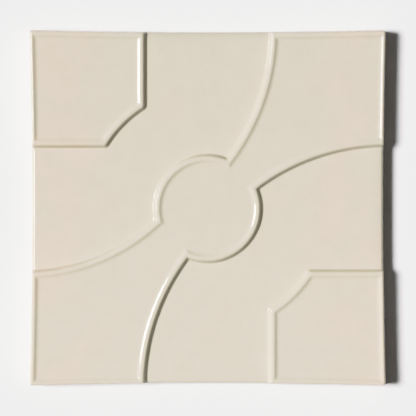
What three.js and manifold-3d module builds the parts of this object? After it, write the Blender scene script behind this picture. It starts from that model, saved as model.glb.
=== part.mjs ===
// Glazed ceramic accent tile with a raised geometric relief, fired as one piece.
// The back lies on z = 0 and the glazed face looks up. Units are millimetres.
// Three raised trays stand on a low field: one in the upper left corner, its twin in the
// lower right corner, and a diagonal band with a disc in the middle. Each tray has a
// rounded rim that is steep outside and slopes gently to a sunk floor inside.

import * as THREE from 'three';
import { mergeVertices } from 'three/addons/utils/BufferGeometryUtils.js';
import Module from 'manifold-3d';

// The tile's blank
const SIDE = 152.4;              // corner to corner along one side
const SIDE_PINCH = 1.0;          // how far the middle of each side draws in
const CORNER_RADIUS = 0.8;       // the four corners, seen from above
const FIELD_THICKNESS = 8.1;     // back to the low field
const EDGE_RADIUS = 0.9;         // rounding round the back and along the low field's sides

// The rim that runs round each raised tray
const RIM_RISE = 2.2;            // low field to the top of the rim
const RIM_SHOULDER = 1.3;        // foot of the rim to where its rounded shoulder is level
const RIM_LAND = 1.2;            // level top of the rim
const RIM_SLOPE = 2.7;           // inner slope, from the rim's top to the tray's floor
const TRAY_DEPTH = 0.62;         // top of the rim down to the tray's floor
const RIM_OVERHANG = 0.8;        // part of the rim's foot that the tile's side cuts off

// The pattern, measured from the tile's centre lines
const PANEL_LINE = 26.35;        // straight feet of the two corner trays
const PANEL_CUT_RADIUS = 50.5;   // arc, round the tile's centre, that cuts their inner corners
const DISC_RADIUS = 23.1;        // foot of the disc in the band's middle
const SWEEP_LINE = 26.7;         // where three of the band's long arcs reach the tile's sides
const SWEEP_RADIUS = 91.8;       // those long arcs
const SWEEP_NECK = 9.4;          // where they meet the disc, off the band's middle line
const LEFT_SWEEP_LINE = 26.7;    // the same three sizes for the long arc to the left side
const LEFT_SWEEP_RADIUS = 82.7;
const LEFT_SWEEP_NECK = 12.5;

// Facets
const SIDE_STEPS = 12;
const CORNER_STEPS = 3;
const SWEEP_STEPS = 9;
const DISC_STEPS = 8;
const CUT_STEPS = 3;
const RIM_STEPS = 6;
const TRAY_STEPS = 12;
const EDGE_STEPS = 3;

const half = SIDE / 2;
const sideRadius = (half ** 2 + SIDE_PINCH ** 2) / (2 * SIDE_PINCH);
const sideCentre = new THREE.Vector2(0, half - SIDE_PINCH + sideRadius);
const tileCentre = new THREE.Vector2(0, 0);
const rimTop = FIELD_THICKNESS + RIM_RISE;
const rimWidth = RIM_SHOULDER + RIM_LAND + RIM_SLOPE;
const trayFloor = rimTop - TRAY_DEPTH;
const spare = 2.0;               // how far a tool solid runs past what it cuts or joins

// Height of the top side above the tile's centre at a run along it: a shallow arc that draws
// in, moved out by a margin.
function sideAt(run, margin) {
  return sideCentre.y - Math.sqrt((sideRadius - margin) ** 2 - run ** 2);
}

// Where two neighbouring sides, moved out by a margin, cross on the tile's diagonal.
function cornerAt(margin) {
  return (sideCentre.y - Math.sqrt(2 * (sideRadius - margin) ** 2 - sideCentre.y ** 2)) / 2;
}

// Points along the top side, from one run to another, moved out by a margin.
function topSide(from, to, steps, margin) {
  const points = [];
  for (let i = 0; i <= steps; i += 1) {
    const run = from + (to - from) * i / steps;
    points.push(new THREE.Vector2(run, sideAt(run, margin)));
  }
  return points;
}

function arcPoints(centre, radius, from, to, steps) {
  const start = Math.atan2(from.y - centre.y, from.x - centre.x);
  const end = Math.atan2(to.y - centre.y, to.x - centre.x);
  const clockwise = Math.sin(end - start) < 0;
  const arc = new THREE.EllipseCurve(centre.x, centre.y, radius, radius, start, end, clockwise);
  return arc.getPoints(steps);
}

// Centre of the circle of a radius through two points that lies left of the way between them.
function centreLeftOf(from, to, radius) {
  const way = to.clone().sub(from);
  const middle = from.clone().addScaledVector(way, 0.5);
  const aside = Math.sqrt(radius ** 2 - way.lengthSq() / 4);
  const left = new THREE.Vector2(-way.y, way.x).normalize();
  return middle.addScaledVector(left, aside);
}

// Joins stretches into one outline and drops each point that repeats the last one.
function joined(...stretches) {
  const outline = [];
  for (const point of stretches.flat()) {
    const last = outline.at(-1);
    if (!last || last.distanceTo(point) > 1e-6) outline.push(point);
  }
  if (outline[0].distanceTo(outline.at(-1)) < 1e-6) outline.pop();
  return outline;
}

const acrossDiagonal = (point) => new THREE.Vector2(-point.y, -point.x);
const halfTurn = (point) => new THREE.Vector2(-point.x, -point.y);
const mirrored = (points) => points.map(acrossDiagonal).reverse();

// Four copies of a quarter outline, turned clockwise about the tile's centre.
function fourTurns(quarter) {
  const quarters = [0, 1, 2, 3].map((k) => quarter.map(
    (point) => point.clone().rotateAround(tileCentre, -k * Math.PI / 2)));
  return joined(...quarters);
}

// The tile seen from above: four drawn-in sides and small round corners.
function tileOutline() {
  const reach = half - CORNER_RADIUS;
  const height = sideAt(reach, 0);
  const top = topSide(-reach, reach, SIDE_STEPS, 0);
  const turn = arcPoints(new THREE.Vector2(reach, reach), height - reach,
    new THREE.Vector2(reach, height), new THREE.Vector2(height, reach), CORNER_STEPS);
  return fourTurns(joined(top, turn));
}

// The low field's edge, moved out by a margin, with its corners left sharp.
function fieldOutline(margin) {
  return fourTurns(topSide(-cornerAt(margin), cornerAt(margin), SIDE_STEPS, margin));
}

// The upper left tray's foot: two straight feet and the cut corner. Along the tile's sides
// the foot lies past the side, which cuts it off.
function panelOutline() {
  const side = topSide(-cornerAt(RIM_OVERHANG), -PANEL_LINE, SIDE_STEPS / 3, RIM_OVERHANG);
  const cutEnd = Math.sqrt(PANEL_CUT_RADIUS ** 2 - PANEL_LINE ** 2);
  const cutStart = new THREE.Vector2(-PANEL_LINE, cutEnd);
  const cutMiddle = new THREE.Vector2(-1, 1).setLength(PANEL_CUT_RADIUS);
  const cut = arcPoints(tileCentre, PANEL_CUT_RADIUS, cutStart, cutMiddle, CUT_STEPS);
  const leg = joined(side, cut);
  return joined(leg, mirrored(leg));
}

// A quarter of the diagonal band's foot: from the upper right corner along the top side, down
// a long arc to the disc and round it to the middle of the band's upper left flank.
function bandLeg(line, radius, neckOffset) {
  const start = new THREE.Vector2(line, sideAt(line, RIM_OVERHANG));
  const neck = new THREE.Vector2(Math.sqrt(DISC_RADIUS ** 2 - neckOffset ** 2), neckOffset);
  const notch = neck.rotateAround(tileCentre, Math.PI / 4);
  const discMiddle = new THREE.Vector2(-1, 1).setLength(DISC_RADIUS);
  const side = topSide(cornerAt(RIM_OVERHANG), line, SIDE_STEPS / 3, RIM_OVERHANG);
  const sweep = arcPoints(centreLeftOf(notch, start, radius), radius, start, notch, SWEEP_STEPS);
  const disc = arcPoints(tileCentre, DISC_RADIUS, notch, discMiddle, DISC_STEPS);
  return joined(side, sweep, disc);
}

// The whole foot of the band. Three of its quarters are alike, and the long arc that runs to
// the tile's left side is bent more.
function bandOutline() {
  const leg = bandLeg(SWEEP_LINE, SWEEP_RADIUS, SWEEP_NECK);
  const leftLeg = bandLeg(LEFT_SWEEP_LINE, LEFT_SWEEP_RADIUS, LEFT_SWEEP_NECK);
  const upperFlank = joined(leg, mirrored(leftLeg));
  const lowerFlank = joined(leg, mirrored(leg)).map(halfTurn);
  return joined(upperFlank, lowerFlank);
}

const wasm = await Module();
wasm.setup();

function toSolid(geometry) {
  geometry.deleteAttribute('normal');
  geometry.deleteAttribute('uv');
  const merged = mergeVertices(geometry, 1e-5);
  return new wasm.Manifold(new wasm.Mesh({
    numProp: 3,
    vertProperties: new Float32Array(merged.attributes.position.array),
    triVerts: new Uint32Array(merged.index.array),
  }));
}

function toGeometry(solid) {
  const mesh = solid.getMesh();
  const geometry = new THREE.BufferGeometry();
  geometry.setAttribute('position', new THREE.BufferAttribute(mesh.vertProperties, 3));
  geometry.setIndex(new THREE.BufferAttribute(mesh.triVerts, 1));
  geometry.computeVertexNormals();
  return geometry;
}

function extruded(outline, bottom, options) {
  const geometry = new THREE.ExtrudeGeometry(new THREE.Shape(outline), options);
  return toSolid(geometry.translate(0, 0, bottom));
}

// A slab between two heights whose upper and lower edges draw in by a rounding as wide and
// as high as given. The outline is its widest section.
function slab(outline, bottom, top, roundWidth, roundHeight, steps) {
  return extruded(outline, bottom + roundHeight, {
    depth: top - bottom - 2 * roundHeight,
    bevelThickness: roundHeight,
    bevelSize: roundWidth,
    bevelOffset: -roundWidth,
    bevelSegments: steps,
  });
}

// A raised tray: a slab with the rim's rounded shoulder, less a dish. The dish's wall is the
// low part of an ellipse that leaves the floor level and ends on the rim's top.
function tray(outline) {
  const pad = slab(outline, FIELD_THICKNESS - RIM_RISE - spare, rimTop,
    RIM_SHOULDER, RIM_RISE, RIM_STEPS);
  const slopeShare = RIM_SLOPE / rimWidth;
  const dishHeight = TRAY_DEPTH / (1 - Math.sqrt(1 - slopeShare ** 2));
  const dish = slab(outline, trayFloor, trayFloor + 2 * dishHeight + spare,
    rimWidth, dishHeight, TRAY_STEPS);
  return pad.subtract(dish);
}

const fieldMargin = 0.2;
const blank = extruded(tileOutline(), -spare, {
  depth: rimTop + 2 * spare,
  bevelEnabled: false,
});
const field = slab(fieldOutline(fieldMargin), 0, FIELD_THICKNESS,
  EDGE_RADIUS + fieldMargin, EDGE_RADIUS, EDGE_STEPS);
const panel = panelOutline();
const relief = field
  .add(tray(panel))
  .add(tray(panel.map(halfTurn)))
  .add(tray(bandOutline()));

const tile = new THREE.Mesh(
  toGeometry(blank.intersect(relief)),
  new THREE.MeshStandardMaterial({ color: 0xddd5c6, roughness: 0.15, metalness: 0 }),
);
tile.name = 'relief_tile';

const group = new THREE.Group();
group.add(tile);

export default group;
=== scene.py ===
"""A glazed ceramic relief tile on a pale floor, seen from straight above in studio light.

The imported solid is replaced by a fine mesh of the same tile. Its face is a height that is
worked out from the distance to the relief's outlines, so the rims have soft glazed edges.
"""

import math

import bpy
import numpy as np
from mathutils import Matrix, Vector
from mathutils.geometry import delaunay_2d_cdt


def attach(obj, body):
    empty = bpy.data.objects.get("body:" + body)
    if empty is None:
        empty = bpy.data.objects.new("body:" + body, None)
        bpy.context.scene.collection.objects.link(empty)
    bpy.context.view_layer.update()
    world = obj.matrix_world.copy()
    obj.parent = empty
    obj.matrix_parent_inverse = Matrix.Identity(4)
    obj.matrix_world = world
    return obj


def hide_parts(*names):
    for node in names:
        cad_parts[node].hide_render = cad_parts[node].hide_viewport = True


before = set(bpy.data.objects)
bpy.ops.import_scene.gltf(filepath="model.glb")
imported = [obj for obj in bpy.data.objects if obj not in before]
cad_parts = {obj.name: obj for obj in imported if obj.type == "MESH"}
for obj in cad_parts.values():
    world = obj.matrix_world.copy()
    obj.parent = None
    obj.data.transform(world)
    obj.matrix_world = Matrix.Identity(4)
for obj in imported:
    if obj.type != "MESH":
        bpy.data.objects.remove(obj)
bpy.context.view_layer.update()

MM = 0.001

# The tile's blank
SIDE = 152.4 * MM                # corner to corner along one side
SIDE_PINCH = 1.0 * MM            # how far the middle of each side draws in
CORNER_RADIUS = 0.85 * MM        # the four corners, seen from above
FIELD_THICKNESS = 8.1 * MM       # back to the low field
EDGE_RADIUS = 1.4 * MM           # the upper edge where the low field meets a side
RIM_EDGE_RADIUS = 0.95 * MM      # the upper edge where a rim runs along a side

# The rim round each raised tray
RIM_RISE = 2.2 * MM              # low field to the top of the rim
RIM_SHOULDER = 1.3 * MM          # foot of the rim to where its rounded shoulder is level
RIM_LAND = 0.8 * MM              # level top of the rim
RIM_SLOPE = 2.8 * MM             # inner slope, from the rim's top to the tray's floor
TRAY_DEPTH = 0.65 * MM           # top of the rim down to the tray's floor
RIM_OVERHANG = 0.8 * MM          # how far past the side the long arcs' outer ends lie

# The pattern, from the tile's centre lines
PANEL_LINE = 26.35 * MM          # level straight feet of the two corner trays
DISC_RADIUS = 23.1 * MM          # foot of the disc in the band's middle
SWEEP_LINE = 26.7 * MM           # where three of the band's long arcs reach the tile's sides
SWEEP_RADIUS = 91.8 * MM         # those long arcs
SWEEP_NECK = 9.4 * MM            # where they meet the disc, off the band's middle line
LEFT_SWEEP_LINE = 26.7 * MM      # the same three sizes for the long arc to the left side
LEFT_SWEEP_RADIUS = 82.7 * MM
LEFT_SWEEP_NECK = 12.5 * MM

# How this tile differs from the even pattern: its relief sits a little off the centre of the
# blank, and each side cuts off more or less of a tray's rim. The two corner trays, upper left
# first, have their own upright line, cut radius and overhangs at the top, right, bottom, left.
RELIEF_SHIFT = np.array([-0.05, -0.45]) * MM
PANELS = (
    (1, 26.65 * MM, 50.65 * MM, np.array([0.1, 1.2, 0.9, 1.2]) * MM),
    (-1, 26.3 * MM, 50.3 * MM, np.array([0.1, 1.07, 0.85, 1.2]) * MM),
)
BAND_OVERHANGS = np.array([0.0, 1.4, 1.0, 0.8]) * MM

# How the glaze softens the pressed clay
FOOT_SPREAD = 0.36 * MM          # softening of the rim's foot and shoulder
CREST_SPREAD = 0.18 * MM         # softening of its inner slope
SLOPE_RAMP = 0.38 * MM           # from the rim's top to the steepest part of the inner slope
SLOPE_HOLD = 0.5 * MM            # the steepest part
SLOPE_FADE = 2.0                 # power by which the rest of the slope levels out
CORNER_BLEND = 0.9 * MM          # rounding where two feet meet
ROLL_WIDTH = 4.0 * MM            # strip in which the low field rolls off towards a side
ROLL_DROPS = np.array([0.30, 0.18, 0.24, 0.02]) * MM  # at the top, right, bottom and left

# The sides and the back
GLAZE_LINE = 5.4 * MM            # the glaze's lower edge above the back
GLAZE_LINE_WAVE = 0.25 * MM
GLAZE_WAVES = ((5, 1.0, 0.6), (11, 0.6, 2.1), (23, 0.4, 0.0))  # waves round, height, start
GLAZE_THICKNESS = 0.08 * MM
BACK_RADIUS = 0.6 * MM

# The mesh
CORNER_STEP = 0.15 * MM          # between points round the tile's corners
CURVE_STEP = 0.9 * MM            # along arcs
STRAIGHT_STEP = 1.8 * MM         # along straight lines and the sides
FILL_STEP = 2.6 * MM             # on the level areas of the face
BACK_STEP = 8.0 * MM             # on the back
OVERRUN = 3.5 * MM               # how far the lines of the feet run past their ends
NEAR_OUTLINE = 0.02 * MM         # triangles nearer to the outline are tested against it
SLOPE_PROBE = 0.01 * MM          # half the stretch over which the face's slope is measured
SIDE_PROBE = 0.02 * MM           # the same for the way in from the outline
# The lines of the mesh, inside the trays' feet and inside the tile's sides
RIM_STATIONS = np.array([
    -1.1, -0.85, -0.65, -0.48, -0.33, -0.2, -0.08, 0.04, 0.16, 0.28, 0.4, 0.52, 0.65, 0.8,
    0.97, 1.15, 1.35, 1.6, 1.85, 2.05, 2.22, 2.38, 2.54, 2.7, 2.86, 3.02, 3.18, 3.36, 3.56,
    3.8, 4.1, 4.5, 5.0, 5.5]) * MM
EDGE_STATIONS = np.array([
    0.02, 0.06, 0.12, 0.2, 0.3, 0.4, 0.5, 0.6, 0.7, 0.81, 0.93, 1.06, 1.2, 1.35, 1.5,
    1.65, 1.8, 1.95, 2.12, 2.3, 2.5, 2.72, 2.97, 3.25, 3.6, 4.0, 4.45, 4.95]) * MM
# Its rings on the sides, from the face's border down to the glaze's edge, and round the back's
# edge. Two more on the glaze's rounded lower edge are glazed too.
SIDE_SHARES = (0.12, 0.4, 0.7, 0.95)
GLAZED_ROWS = len(SIDE_SHARES) + 2
BACK_ANGLES = np.radians((0, 22, 45, 68, 90))

half = SIDE / 2
side_radius = (half ** 2 + SIDE_PINCH ** 2) / (2 * SIDE_PINCH)
side_centre = half - SIDE_PINCH + side_radius
corner_centre = (side_centre - math.sqrt(2 * (side_radius + CORNER_RADIUS) ** 2
                                         - side_centre ** 2)) / 2
corner_lean = math.asin(corner_centre / (side_radius + CORNER_RADIUS))
rim_width = RIM_SHOULDER + RIM_LAND + RIM_SLOPE
SIDE_WAYS = ((0, 1), (1, 0), (0, -1), (-1, 0))


def side_at(run, margin):
    """Height of the top side above the tile's centre at a run along it."""
    return side_centre - np.sqrt((side_radius - margin) ** 2 - run ** 2)


def long_arc(line, radius, aside):
    """Centre, radius and disc end of an arc from the top side down to the disc."""
    start = np.array([line, side_at(line, RIM_OVERHANG)])
    along = math.sqrt(DISC_RADIUS ** 2 - aside ** 2)
    notch = np.array([along - aside, along + aside]) / math.sqrt(2)
    way = start - notch
    length = np.hypot(*way)
    left = np.array([-way[1], way[0]]) / length
    centre = (start + notch) / 2 + left * math.sqrt(radius ** 2 - length ** 2 / 4)
    return centre, radius, notch


# The band's two flanks. Each has an arc to the top side and one that is drawn the same way
# and mirrored across the diagonal, and the second flank is then turned by half.
SWEEP = long_arc(SWEEP_LINE, SWEEP_RADIUS, SWEEP_NECK)
LEFT_SWEEP = long_arc(LEFT_SWEEP_LINE, LEFT_SWEEP_RADIUS, LEFT_SWEEP_NECK)
FLANKS = ((1, SWEEP, LEFT_SWEEP), (-1, SWEEP, SWEEP))


def smooth_min(a, b, blend):
    """The smaller of two values, with a rounded change from one to the other."""
    mix = np.clip(0.5 + 0.5 * (b - a) / blend, 0, 1)
    return b * (1 - mix) + a * mix - blend * mix * (1 - mix)


def smooth_max(a, b, blend):
    return -smooth_min(-a, -b, blend)


def side_distances(x, y):
    """How far a point lies inside the top, right, bottom and left sides."""
    return [np.hypot(x - a * side_centre, y - b * side_centre) - side_radius
            for a, b in SIDE_WAYS]


def outline_distance(x, y):
    """How far a point lies inside the tile's outline, round its small corners too."""
    past_x, past_y = np.abs(x) - corner_centre, np.abs(y) - corner_centre
    lean = math.tan(corner_lean)
    in_corner = (past_x + lean * past_y > 0) & (past_y + lean * past_x > 0)
    return np.where(in_corner, CORNER_RADIUS - np.hypot(past_x, past_y),
                    np.minimum.reduce(side_distances(x, y)))


def softened(values, spread, step):
    """Values at even steps, blurred by a bell curve."""
    reach = int(4 * spread / step)
    offsets = np.arange(-reach, reach + 1) * step
    weights = np.exp(-0.5 * (offsets / spread) ** 2)
    return np.convolve(np.pad(values, reach, mode="edge"), weights / weights.sum(), "valid")


def rim_profile():
    """Height above the low field against the way inside a rim's foot, softened by glaze."""
    step = 0.01 * MM
    run = np.arange(-6 * MM, rim_width + 6 * MM, step)
    short = np.clip((RIM_SHOULDER - run) / RIM_SHOULDER, 0, 1)
    shoulder = softened(RIM_RISE * np.sqrt(1 - short ** 2), FOOT_SPREAD, step)
    inside = run - RIM_SHOULDER - RIM_LAND
    ramp = np.clip(inside / SLOPE_RAMP, 0, 1)
    tail = np.clip((RIM_SLOPE - inside) / (RIM_SLOPE - SLOPE_RAMP - SLOPE_HOLD), 0, 1)
    steepness = ramp * tail ** SLOPE_FADE
    dish = np.cumsum(steepness) / np.sum(steepness) * TRAY_DEPTH
    return run, shoulder - softened(dish, CREST_SPREAD, step)


PROFILE_RUN, PROFILE_RISE = rim_profile()


def edge_distance(sides, overhangs):
    """How far a point lies inside a foot that runs along the sides, a little past them."""
    top, right, bottom, left = (side + past for side, past in zip(sides, overhangs))
    return smooth_min(smooth_min(right, left, CORNER_BLEND),
                      smooth_min(top, bottom, CORNER_BLEND), CORNER_BLEND)


def panel_distance(x, y, upright, cut_radius):
    """How far a point lies inside the inner feet of the upper left tray."""
    straight = smooth_min(-x - upright, y - PANEL_LINE, CORNER_BLEND)
    return smooth_min(straight, np.hypot(x, y) - cut_radius, CORNER_BLEND)


def band_distance(x, y):
    """How far a point lies inside the feet of the diagonal band and its disc."""
    arcs = []
    for turn, upper, lower in FLANKS:
        (a, b), radius, _ = upper
        arcs.append(np.hypot(x - turn * a, y - turn * b) - radius)
        (a, b), radius, _ = lower
        arcs.append(np.hypot(x + turn * b, y + turn * a) - radius)
    return smooth_max(np.minimum.reduce(arcs), DISC_RADIUS - np.hypot(x, y), CORNER_BLEND)


def face_height(x, y):
    """Height of the glazed face over the floor at each point of the tile."""
    sides = side_distances(x, y)
    px, py = x - RELIEF_SHIFT[0], y - RELIEF_SHIFT[1]
    feet = [(panel_distance(turn * px, turn * py, upright, cut_radius), overhangs)
            for turn, upright, cut_radius, overhangs in PANELS]
    feet.append((band_distance(px, py), BAND_OVERHANGS))
    rise = 0
    for inner, overhangs in feet:
        distance = smooth_min(inner, edge_distance(sides, overhangs), CORNER_BLEND)
        rise = rise + np.interp(distance, PROFILE_RUN, PROFILE_RISE)
    low = np.clip(1 - rise / (RIM_RISE - TRAY_DEPTH), 0, 1)
    radius = RIM_EDGE_RADIUS + (EDGE_RADIUS - RIM_EDGE_RADIUS) * low
    short = np.clip(radius - outline_distance(x, y), 0, radius)
    rounding = radius - np.sqrt(radius ** 2 - short ** 2)
    roll = 0
    for side, drop in zip(sides, ROLL_DROPS):
        way = np.clip(1 - side / ROLL_WIDTH, 0, 1)
        roll = roll + drop * way * way * (3 - 2 * way)
    return FIELD_THICKNESS + rise - rounding - roll * low


def face_normals(x, y):
    """Unit normals of the glazed face."""
    step = SLOPE_PROBE
    slope_x = (face_height(x + step, y) - face_height(x - step, y)) / (2 * step)
    slope_y = (face_height(x, y + step) - face_height(x, y - step)) / (2 * step)
    normals = np.stack([-slope_x, -slope_y, np.ones_like(x)], axis=1)
    return normals / np.linalg.norm(normals, axis=1, keepdims=True)


def ways_in(points):
    """The level direction from each point of the outline straight into the tile."""
    x, y = points.T
    step = SIDE_PROBE
    ways = np.stack([
        outline_distance(x + step, y) - outline_distance(x - step, y),
        outline_distance(x, y + step) - outline_distance(x, y - step)], axis=1)
    return ways / np.linalg.norm(ways, axis=1, keepdims=True)


def turned(points, quarter_turns):
    """Points turned clockwise about the tile's centre by quarter turns."""
    for _ in range(quarter_turns):
        points = np.stack([points[:, 1], -points[:, 0]], axis=1)
    return points


def across_diagonal(points):
    """Points mirrored across the diagonal that the band doesn't follow."""
    return np.stack([-points[:, 1], -points[:, 0]], axis=1)


def line_points(start, end, step):
    """Points on a straight line, both ends among them."""
    start, end = np.array(start), np.array(end)
    count = max(2, math.ceil(np.hypot(*(end - start)) / step) + 1)
    return start + (end - start) * np.linspace(0, 1, count)[:, None]


def arc_points(centre, radius, start, end, step):
    """Points on an arc between two angles."""
    count = max(2, math.ceil(abs(end - start) * radius / step) + 1)
    angles = np.linspace(start, end, count)
    return np.stack([centre[0] + radius * np.cos(angles),
                     centre[1] + radius * np.sin(angles)], axis=1)


def side_points(margin, reach, step):
    """Points along the top side, moved out by a margin, as far as a reach to both hands."""
    runs = np.linspace(-reach, reach, math.ceil(2 * reach / step) + 1)
    return np.stack([runs, side_at(runs, margin)], axis=1)


def outline_points():
    """The tile's outline, clockwise from the top left, without a repeated end point."""
    reach = corner_centre - CORNER_RADIUS * math.sin(corner_lean)
    top = side_points(0, reach, STRAIGHT_STEP)
    corner = arc_points((corner_centre, corner_centre), CORNER_RADIUS,
                        math.pi / 2 + corner_lean, -corner_lean, CORNER_STEP)
    quarter = np.concatenate([top, corner[1:-1]])
    return np.concatenate([turned(quarter, k) for k in range(4)])


def edge_lines():
    """Lines that follow the tile's sides at each station inside them."""
    lines = []
    for inside in EDGE_STATIONS:
        top = side_points(-inside, half, STRAIGHT_STEP)
        lines += [turned(top, k) for k in range(4)]
    return lines


def panel_lines():
    """Lines along the feet of the two corner trays, at each station across the rim."""
    middle = 3 * math.pi / 4
    lines = []
    for turn, upright, cut_radius, _ in PANELS:
        cut_end = math.sqrt(cut_radius ** 2 - PANEL_LINE ** 2)
        reach = math.atan2(cut_end, PANEL_LINE) - math.pi / 4 + OVERRUN / cut_radius
        for inside in RIM_STATIONS:
            x, y = -upright - inside, PANEL_LINE + inside
            ends = (cut_end - OVERRUN, half + OVERRUN)
            for line in (line_points((x, ends[0]), (x, ends[1]), STRAIGHT_STEP),
                         line_points((-ends[0], y), (-ends[1], y), STRAIGHT_STEP),
                         arc_points((0, 0), cut_radius + inside, middle - reach,
                                    middle + reach, CURVE_STEP)):
                lines.append(RELIEF_SHIFT + turn * line)
    return lines


def sweep_line(sweep, inside):
    """A line along a long arc, past both of its ends."""
    centre, radius, notch = sweep
    radius += inside
    bottom = math.atan2(notch[1] - centre[1], notch[0] - centre[0]) - OVERRUN / radius
    top = math.asin((half + OVERRUN - centre[1]) / radius)
    return arc_points(centre, radius, bottom, top, CURVE_STEP)


def band_lines():
    """Lines along the diagonal band's foot, at each station across the rim."""
    lines = []
    for turn, upper, lower in FLANKS:
        start, end = (math.atan2(notch[1], notch[0]) for _, _, notch in (upper, lower))
        for inside in RIM_STATIONS:
            ring = DISC_RADIUS - inside
            spare = OVERRUN / ring
            disc = arc_points((0, 0), ring, start - spare, 3 * math.pi / 2 - end + spare,
                              CURVE_STEP)
            for line in (sweep_line(upper, inside), across_diagonal(sweep_line(lower, inside)),
                         disc):
                lines.append(RELIEF_SHIFT + turn * line)
    return lines


def fill_points():
    """A grid of loose points that keeps the level areas from long thin triangles."""
    ticks = np.arange(-half, half, FILL_STEP)
    x, y = (a.ravel() for a in np.meshgrid(ticks, ticks))
    keep = outline_distance(x, y) > EDGE_STATIONS[-1]
    return np.stack([x[keep], y[keep]], axis=1)


def triangulate(lines, loops, loose):
    """Splits the plane into triangles that keep to the lines. Gives points and triangles."""
    points, edges, count = [], [], 0
    for group, closed in ((lines, False), (loops, True)):
        for line in group:
            points.append(line)
            ends = range(len(line) if closed else len(line) - 1)
            edges += [(count + i, count + (i + 1) % len(line)) for i in ends]
            count += len(line)
    points.append(loose)
    coords = [Vector(p) for p in (np.concatenate(points) / MM).tolist()]
    found = delaunay_2d_cdt(coords, edges, [], 0, 1e-4, False)
    return np.array([tuple(v) for v in found[0]]) * MM, np.array(found[2])


def within(outline, points):
    """Whether each point lies inside a closed outline."""
    x0, y0 = outline.T
    x1, y1 = np.roll(outline, -1, axis=0).T
    x, y = points[:, :1], points[:, 1:]
    passed = (y0 <= y) != (y1 <= y)
    crossing = x0 + (y - y0) * (x1 - x0) / np.where(y1 == y0, 1, y1 - y0)
    return np.count_nonzero(passed & (x < crossing), axis=1) % 2 == 1


def filled(loop, loose):
    """Points and triangles that fill a closed loop, whose own points come first."""
    points, triangles = triangulate([], [loop], loose)
    fence = {frozenset((i, (i + 1) % len(loop))) for i in range(len(loop))}
    owners = {}
    for number, (a, b, c) in enumerate(triangles.tolist()):
        for edge in (frozenset((a, b)), frozenset((b, c)), frozenset((c, a))):
            owners.setdefault(edge, []).append(number)
    middle = points[triangles].mean(axis=1)
    todo = [int(np.argmin(np.hypot(*middle.T)))]
    kept = set(todo)
    while todo:
        a, b, c = triangles[todo.pop()].tolist()
        for edge in (frozenset((a, b)), frozenset((b, c)), frozenset((c, a))):
            fresh = [] if edge in fence else [n for n in owners[edge] if n not in kept]
            kept.update(fresh)
            todo += fresh
    return points, triangles[sorted(kept)]


def boundary_loop(triangles):
    """The vertices round the outside of a patch of triangles, in order."""
    seen = set()
    for a, b, c in triangles.tolist():
        seen.update(((a, b), (b, c), (c, a)))
    following = {a: b for a, b in seen if (b, a) not in seen}
    start = next(iter(following))
    loop = [start]
    while following[loop[-1]] != start:
        loop.append(following[loop[-1]])
    return loop


def face_patch():
    """Plan points and triangles of the glazed face, cut off at the tile's outline."""
    outline = outline_points()
    points, triangles = triangulate(edge_lines() + panel_lines() + band_lines(), [outline],
                                    fill_points())
    middle = points[triangles].mean(axis=1)
    distance = outline_distance(middle[:, 0], middle[:, 1])
    inside = distance > 0
    close = np.abs(distance) < NEAR_OUTLINE
    inside[close] = within(outline, middle[close])
    used, triangles = np.unique(triangles[inside], return_inverse=True)
    return points[used], triangles.reshape(-1, 3)


def wall_rows(loop_points, loop_tops):
    """Rings of points down the tile's side and in under its back edge. The first
    GLAZED_ROWS of them are glazed, down to the glaze's wavy lower edge."""
    inward = ways_in(loop_points)
    turn = np.arctan2(loop_points[:, 1], loop_points[:, 0])
    wave = sum(height * np.sin(count * turn + start) for count, height, start in GLAZE_WAVES)
    line = GLAZE_LINE + GLAZE_LINE_WAVE * wave
    rows = []

    def add(inset, height):
        flat = loop_points + inward * inset
        rows.append(np.column_stack([flat, np.broadcast_to(height, len(flat))]))

    for share in SIDE_SHARES:
        add(0, loop_tops + (line - loop_tops) * share)
    add(0, line)
    add(0.6 * GLAZE_THICKNESS, line - 0.3 * GLAZE_THICKNESS)
    add(GLAZE_THICKNESS, line - GLAZE_THICKNESS)
    for angle in BACK_ANGLES:
        add(GLAZE_THICKNESS + BACK_RADIUS * (1 - math.cos(angle)),
            BACK_RADIUS * (1 - math.sin(angle)))
    return rows


def set_normals(mesh, plan, loop):
    """Gives the face its exact normals and its border the level ones of the sides. The zero
    normals of the other vertices stand for Blender's own."""
    normals = np.zeros((len(mesh.vertices), 3))
    normals[:len(plan)] = face_normals(*plan.T)
    normals[loop, :2] = -ways_in(plan[loop])
    normals[loop, 2] = 0
    mesh.normals_split_custom_set_from_vertices(normals.tolist())


def build_tile():
    """The whole tile as one closed mesh, glazed on top and bare at the back."""
    plan, triangles = face_patch()
    heights = face_height(*plan.T)
    loop = boundary_loop(triangles)
    rows = wall_rows(plan[loop], heights[loop])
    vertices = [np.column_stack([plan, heights])] + rows
    faces = triangles.tolist()
    glazed = [True] * len(faces)

    count = len(plan)
    upper = loop
    for number, row in enumerate(rows):
        lower = list(range(count, count + len(row)))
        count += len(row)
        for i in range(len(loop)):
            j = (i + 1) % len(loop)
            faces.append((upper[j], upper[i], lower[i], lower[j]))
            glazed.append(number < GLAZED_ROWS)
        upper = lower

    rim = rows[-1][:, :2]
    ticks = np.arange(-half + BACK_STEP, half - BACK_STEP / 2, BACK_STEP)
    loose = np.array([(a, b) for a in ticks for b in ticks])
    back, back_triangles = filled(rim, loose)
    fresh = back[len(rim):]
    vertices.append(np.column_stack([fresh, np.zeros(len(fresh))]))
    for a, b, c in (back_triangles + upper[0]).tolist():
        faces.append((c, b, a))
        glazed.append(False)

    mesh = bpy.data.meshes.new("tile_surface")
    mesh.from_pydata(np.concatenate(vertices).tolist(), [], faces)
    mesh.update()
    mesh.polygons.foreach_set("use_smooth", [True] * len(faces))
    mesh.polygons.foreach_set("material_index", [0 if g else 1 for g in glazed])
    set_normals(mesh, plan, loop)
    return mesh


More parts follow.
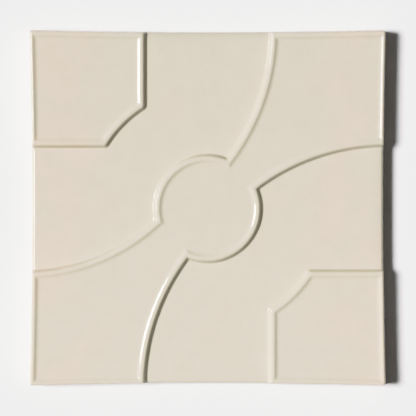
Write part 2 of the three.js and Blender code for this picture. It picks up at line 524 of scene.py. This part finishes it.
class Nodes:
    """Small helper that adds and links shader nodes."""

    def __init__(self, name):
        self.material = bpy.data.materials.new(name)
        self.material.use_nodes = True
        self.tree = self.material.node_tree
        self.shader = self.tree.nodes["Principled BSDF"]

    def add(self, kind, **values):
        """A new node, with values for its sockets and settings."""
        node = self.tree.nodes.new(kind)
        for key, value in values.items():
            if key in node.inputs:
                node.inputs[key].default_value = value
            else:
                setattr(node, key, value)
        return node

    def link(self, source, target):
        self.tree.links.new(source, target)

    def noise(self, place, scale, detail=2.0, roughness=0.5):
        """Mottling whose patches are about 1 / scale metres wide."""
        node = self.add("ShaderNodeTexNoise", Scale=scale, Detail=detail, Roughness=roughness)
        self.link(place, node.inputs["Vector"])
        return node.outputs["Fac"]

    def spread(self, value, ranges):
        """A value mapped smoothly from the first range to the second."""
        node = self.add("ShaderNodeMapRange", interpolation_type="SMOOTHSTEP")
        (low, high), (to_low, to_high) = ranges
        for socket, number in zip(("From Min", "From Max", "To Min", "To Max"),
                                  (low, high, to_low, to_high)):
            node.inputs[socket].default_value = number
        self.link(value, node.inputs["Value"])
        return node.outputs["Result"]

    def math(self, operation, *values):
        node = self.add("ShaderNodeMath", operation=operation)
        for socket, value in zip(node.inputs, values):
            self.link(value, socket)
        return node.outputs["Value"]

    def ramp(self, value, low, high, colours):
        """A blend of two colours as a value goes from low to high."""
        node = self.add("ShaderNodeValToRGB")
        node.color_ramp.elements[0].position = low
        node.color_ramp.elements[1].position = high
        for element, colour in zip(node.color_ramp.elements, colours):
            element.color = (*colour, 1)
        self.link(value, node.inputs["Fac"])
        return node.outputs["Color"]


GREEN_CREAM = (0.695, 0.650, 0.504)
PINK_CREAM = (0.742, 0.643, 0.503)
CLAY_DARK = (0.36, 0.29, 0.22)
CLAY_PALE = (0.47, 0.40, 0.32)
FLOOR_PALE = (0.96, 0.96, 0.96, 1)

# What a place or a noise in the glaze gives, as two ranges: the first becomes the second
PINK_BY_SIDE = (36 * MM, 62 * MM), (0.25, 0.9)        # off the upright middle line
PINK_BY_PATCH = (0.3, 0.7), (0.15, 1.55)
# Painted light: lighter towards the bottom of the face and darker towards the top, partly
# standing in for light falling off up the tile, partly the glaze's own tone
SHADE_UP_FACE = (-90 * MM, 90 * MM), (1.035, 0.975)
SHADE_BY_MOTTLE = (0.2, 0.8), (0.975, 1.025)
BRIM_UP_FACE = (70 * MM, 75.5 * MM), (1.0, 0.93)      # by the top side
BRIM_BY_RELIEF = (8.5 * MM, 9.5 * MM), (0.0, 1.0)     # from low field to rim, above the back
ROUGHNESS_BY_PATCH = (0.3, 0.7), (0.06, 0.1)


def glaze_material():
    """Glossy cream glaze that flashes from a greener to a pinker cream towards two sides. It is
    faintly mottled, and lighter towards the bottom of the face and darker towards the top,
    partly as painted light falling off up the tile and partly as the glaze's own tone. It is a
    little darker on the low field at the top side, and its skin is slightly wavy."""
    n = Nodes("cream_glaze")
    place = n.add("ShaderNodeTexCoord").outputs["Object"]
    parts = n.add("ShaderNodeSeparateXYZ")
    n.link(place, parts.inputs["Vector"])
    flash = n.math("MULTIPLY",
                   n.spread(n.math("ABSOLUTE", parts.outputs["X"]), PINK_BY_SIDE),
                   n.spread(n.noise(place, 62, detail=4.0), PINK_BY_PATCH))
    tint = n.ramp(flash, 0.0, 1.0, (GREEN_CREAM, PINK_CREAM))
    mottle = n.noise(place, 150, detail=5.0, roughness=0.7)
    # Painted light falloff up the face, partly the glaze's own tone, times the glaze's random
    # mottle
    painted_falloff_and_mottle = n.math("MULTIPLY",
                   n.spread(parts.outputs["Y"], SHADE_UP_FACE),
                   n.spread(mottle, SHADE_BY_MOTTLE))
    brim = n.math("MAXIMUM",
                  n.spread(parts.outputs["Z"], BRIM_BY_RELIEF),
                  n.spread(parts.outputs["Y"], BRIM_UP_FACE))
    colour = n.add("ShaderNodeVectorMath", operation="MULTIPLY")
    n.link(tint, colour.inputs[0])
    n.link(n.math("MULTIPLY", painted_falloff_and_mottle, brim), colour.inputs[1])
    n.link(colour.outputs["Vector"], n.shader.inputs["Base Color"])

    gloss = n.noise(place, 180, detail=3.0)
    n.link(n.spread(gloss, ROUGHNESS_BY_PATCH), n.shader.inputs["Roughness"])

    swell = n.add("ShaderNodeBump", Strength=0.25, Distance=0.0003)
    n.link(n.noise(place, 60, detail=1.0), swell.inputs["Height"])
    peel = n.add("ShaderNodeBump", Strength=0.06, Distance=0.0001)
    n.link(n.noise(place, 900, detail=2.0), peel.inputs["Height"])
    n.link(swell.outputs["Normal"], peel.inputs["Normal"])
    n.link(peel.outputs["Normal"], n.shader.inputs["Normal"])
    return n.material


def bisque_material():
    """Bare fired clay of the back and the foot of the sides: pale, matt and grainy."""
    n = Nodes("bare_clay")
    place = n.add("ShaderNodeTexCoord").outputs["Object"]
    cloud = n.noise(place, 90, detail=6.0, roughness=0.65)
    colour = n.ramp(cloud, 0.3, 0.72, (CLAY_DARK, CLAY_PALE))
    n.link(colour, n.shader.inputs["Base Color"])
    n.shader.inputs["Roughness"].default_value = 0.85
    grain = n.add("ShaderNodeBump", Strength=0.4, Distance=0.0001)
    n.link(n.noise(place, 2500, detail=3.0), grain.inputs["Height"])
    n.link(grain.outputs["Normal"], n.shader.inputs["Normal"])
    return n.material


def floor_material():
    """Matt and pale, without a shine of its own."""
    n = Nodes("pale_floor")
    n.shader.inputs["Base Color"].default_value = FLOOR_PALE
    n.shader.inputs["Roughness"].default_value = 0.9
    n.shader.inputs["Specular IOR Level"].default_value = 0.0
    return n.material


def add_object(name, data):
    """An object of the scene with the mesh, lamp or camera given."""
    made = bpy.data.objects.new(name, data)
    bpy.context.scene.collection.objects.link(made)
    return made


def build_floor():
    """A wide floor a hair under the tile's back, so the two faces don't share a plane."""
    reach = 3.0
    depth = -0.05 * MM
    mesh = bpy.data.meshes.new("floor")
    mesh.from_pydata([(-reach, -reach, depth), (reach, -reach, depth),
                      (reach, reach, depth), (-reach, reach, depth)], [], [(0, 1, 2, 3)])
    mesh.materials.append(floor_material())
    floor = add_object("floor", mesh)


# Azimuths run from the picture's right by way of its top
KEY_ELEVATION = math.radians(53.6)
KEY_AZIMUTH = math.radians(178.5)
KEY_SPREAD = math.radians(16.5)
KEY_STRENGTH = 4.08
SHINE_ELEVATION = math.radians(40)
SHINE_AZIMUTH = math.radians(171.5)
SHINE_DISTANCE = 0.63
SHINE_WIDTH = 0.24
SHINE_POWER = 2.8
FILL_STRENGTH = 0.051


def add_lamp(name, lamp_data, elevation, azimuth, distance):
    """Puts a lamp up in a direction from the tile and turns it to the tile."""
    lamp = add_object(name, lamp_data)
    level = math.cos(elevation)
    towards = Vector((math.cos(azimuth) * level, math.sin(azimuth) * level,
                      math.sin(elevation)))
    lamp.location = towards * distance
    lamp.rotation_euler = towards.to_track_quat("Z", "Y").to_euler()
    return lamp


def light_scene():
    """A soft key from the left of the picture, a softbox that gives the glints in the glaze,
    and a weak even fill."""
    sun = bpy.data.lights.new("key", "SUN")
    sun.energy = KEY_STRENGTH
    sun.angle = KEY_SPREAD
    key = add_lamp("key", sun, KEY_ELEVATION, KEY_AZIMUTH, 1.0)
    key.visible_glossy = False
    box = bpy.data.lights.new("shine", "AREA")
    box.shape = "DISK"
    box.size = SHINE_WIDTH
    box.energy = SHINE_POWER
    shine = add_lamp("shine", box, SHINE_ELEVATION, SHINE_AZIMUTH, SHINE_DISTANCE)
    shine.visible_diffuse = False
    world = bpy.data.worlds.new("studio")
    world.use_nodes = True
    background = world.node_tree.nodes["Background"]
    background.inputs["Color"].default_value = (1, 1, 1, 1)
    background.inputs["Strength"].default_value = FILL_STRENGTH
    bpy.context.scene.world = world


CAMERA_HEIGHT = 1.17
PICTURE_SIZE = 416               # pixels
PIXEL = 0.42767 * MM             # the size of one of them at the rims' height
TILE_SHIFT_RIGHT = -0.2          # where the tile's centre lies in the picture, in pixels
TILE_SHIFT_UP = 0.4


def place_camera():
    """Straight above the tile's centre, with the photograph's frame at the rims' height."""
    camera = bpy.data.cameras.new("camera")
    above = CAMERA_HEIGHT - (FIELD_THICKNESS + RIM_RISE)
    camera.lens = camera.sensor_width * above / (PICTURE_SIZE * PIXEL)
    eye = add_object("camera", camera)
    eye.location = (-TILE_SHIFT_RIGHT * PIXEL, -TILE_SHIFT_UP * PIXEL, CAMERA_HEIGHT)
    bpy.context.scene.camera = eye


# Brightness in the scene against brightness in the picture, for red, green and blue. As in the
# photograph the light tones are drawn together, and creams lose some of their yellow in them.
TONES = (
    ((0.0, 0.0), (0.35, 0.35), (0.66, 0.658), (0.731, 0.716), (0.933, 0.807), (1.073, 0.866),
     (1.3, 0.94), (1.7, 1.0)),
    ((0.0, 0.0), (0.35, 0.35), (0.604, 0.604), (0.671, 0.657), (0.856, 0.753), (1.073, 0.866),
     (1.3, 0.94), (1.7, 1.0)),
    ((0.0, 0.0), (0.3, 0.3), (0.372, 0.37), (0.465, 0.485), (0.517, 0.553), (0.66, 0.659),
     (1.073, 0.866), (1.3, 0.94), (1.7, 1.0)),
)


def set_tones():
    """Gives the picture's red, green and blue their tone curves."""
    settings = bpy.context.scene.view_settings
    settings.view_transform = "Standard"
    settings.use_curve_mapping = True
    mapping = settings.curve_mapping
    mapping.clip_max_x = TONES[0][-1][0]
    for curve, tones in zip(mapping.curves, TONES):
        curve.points[0].location = tones[0]
        curve.points[-1].location = tones[-1]
        for tone in tones[1:-1]:
            curve.points.new(*tone)
    mapping.update()


tile = add_object("glazed_tile", build_tile())
tile.data.materials.append(glaze_material())
tile.data.materials.append(bisque_material())
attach(tile, "root")
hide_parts("relief_tile")

build_floor()
light_scene()
place_camera()
set_tones()
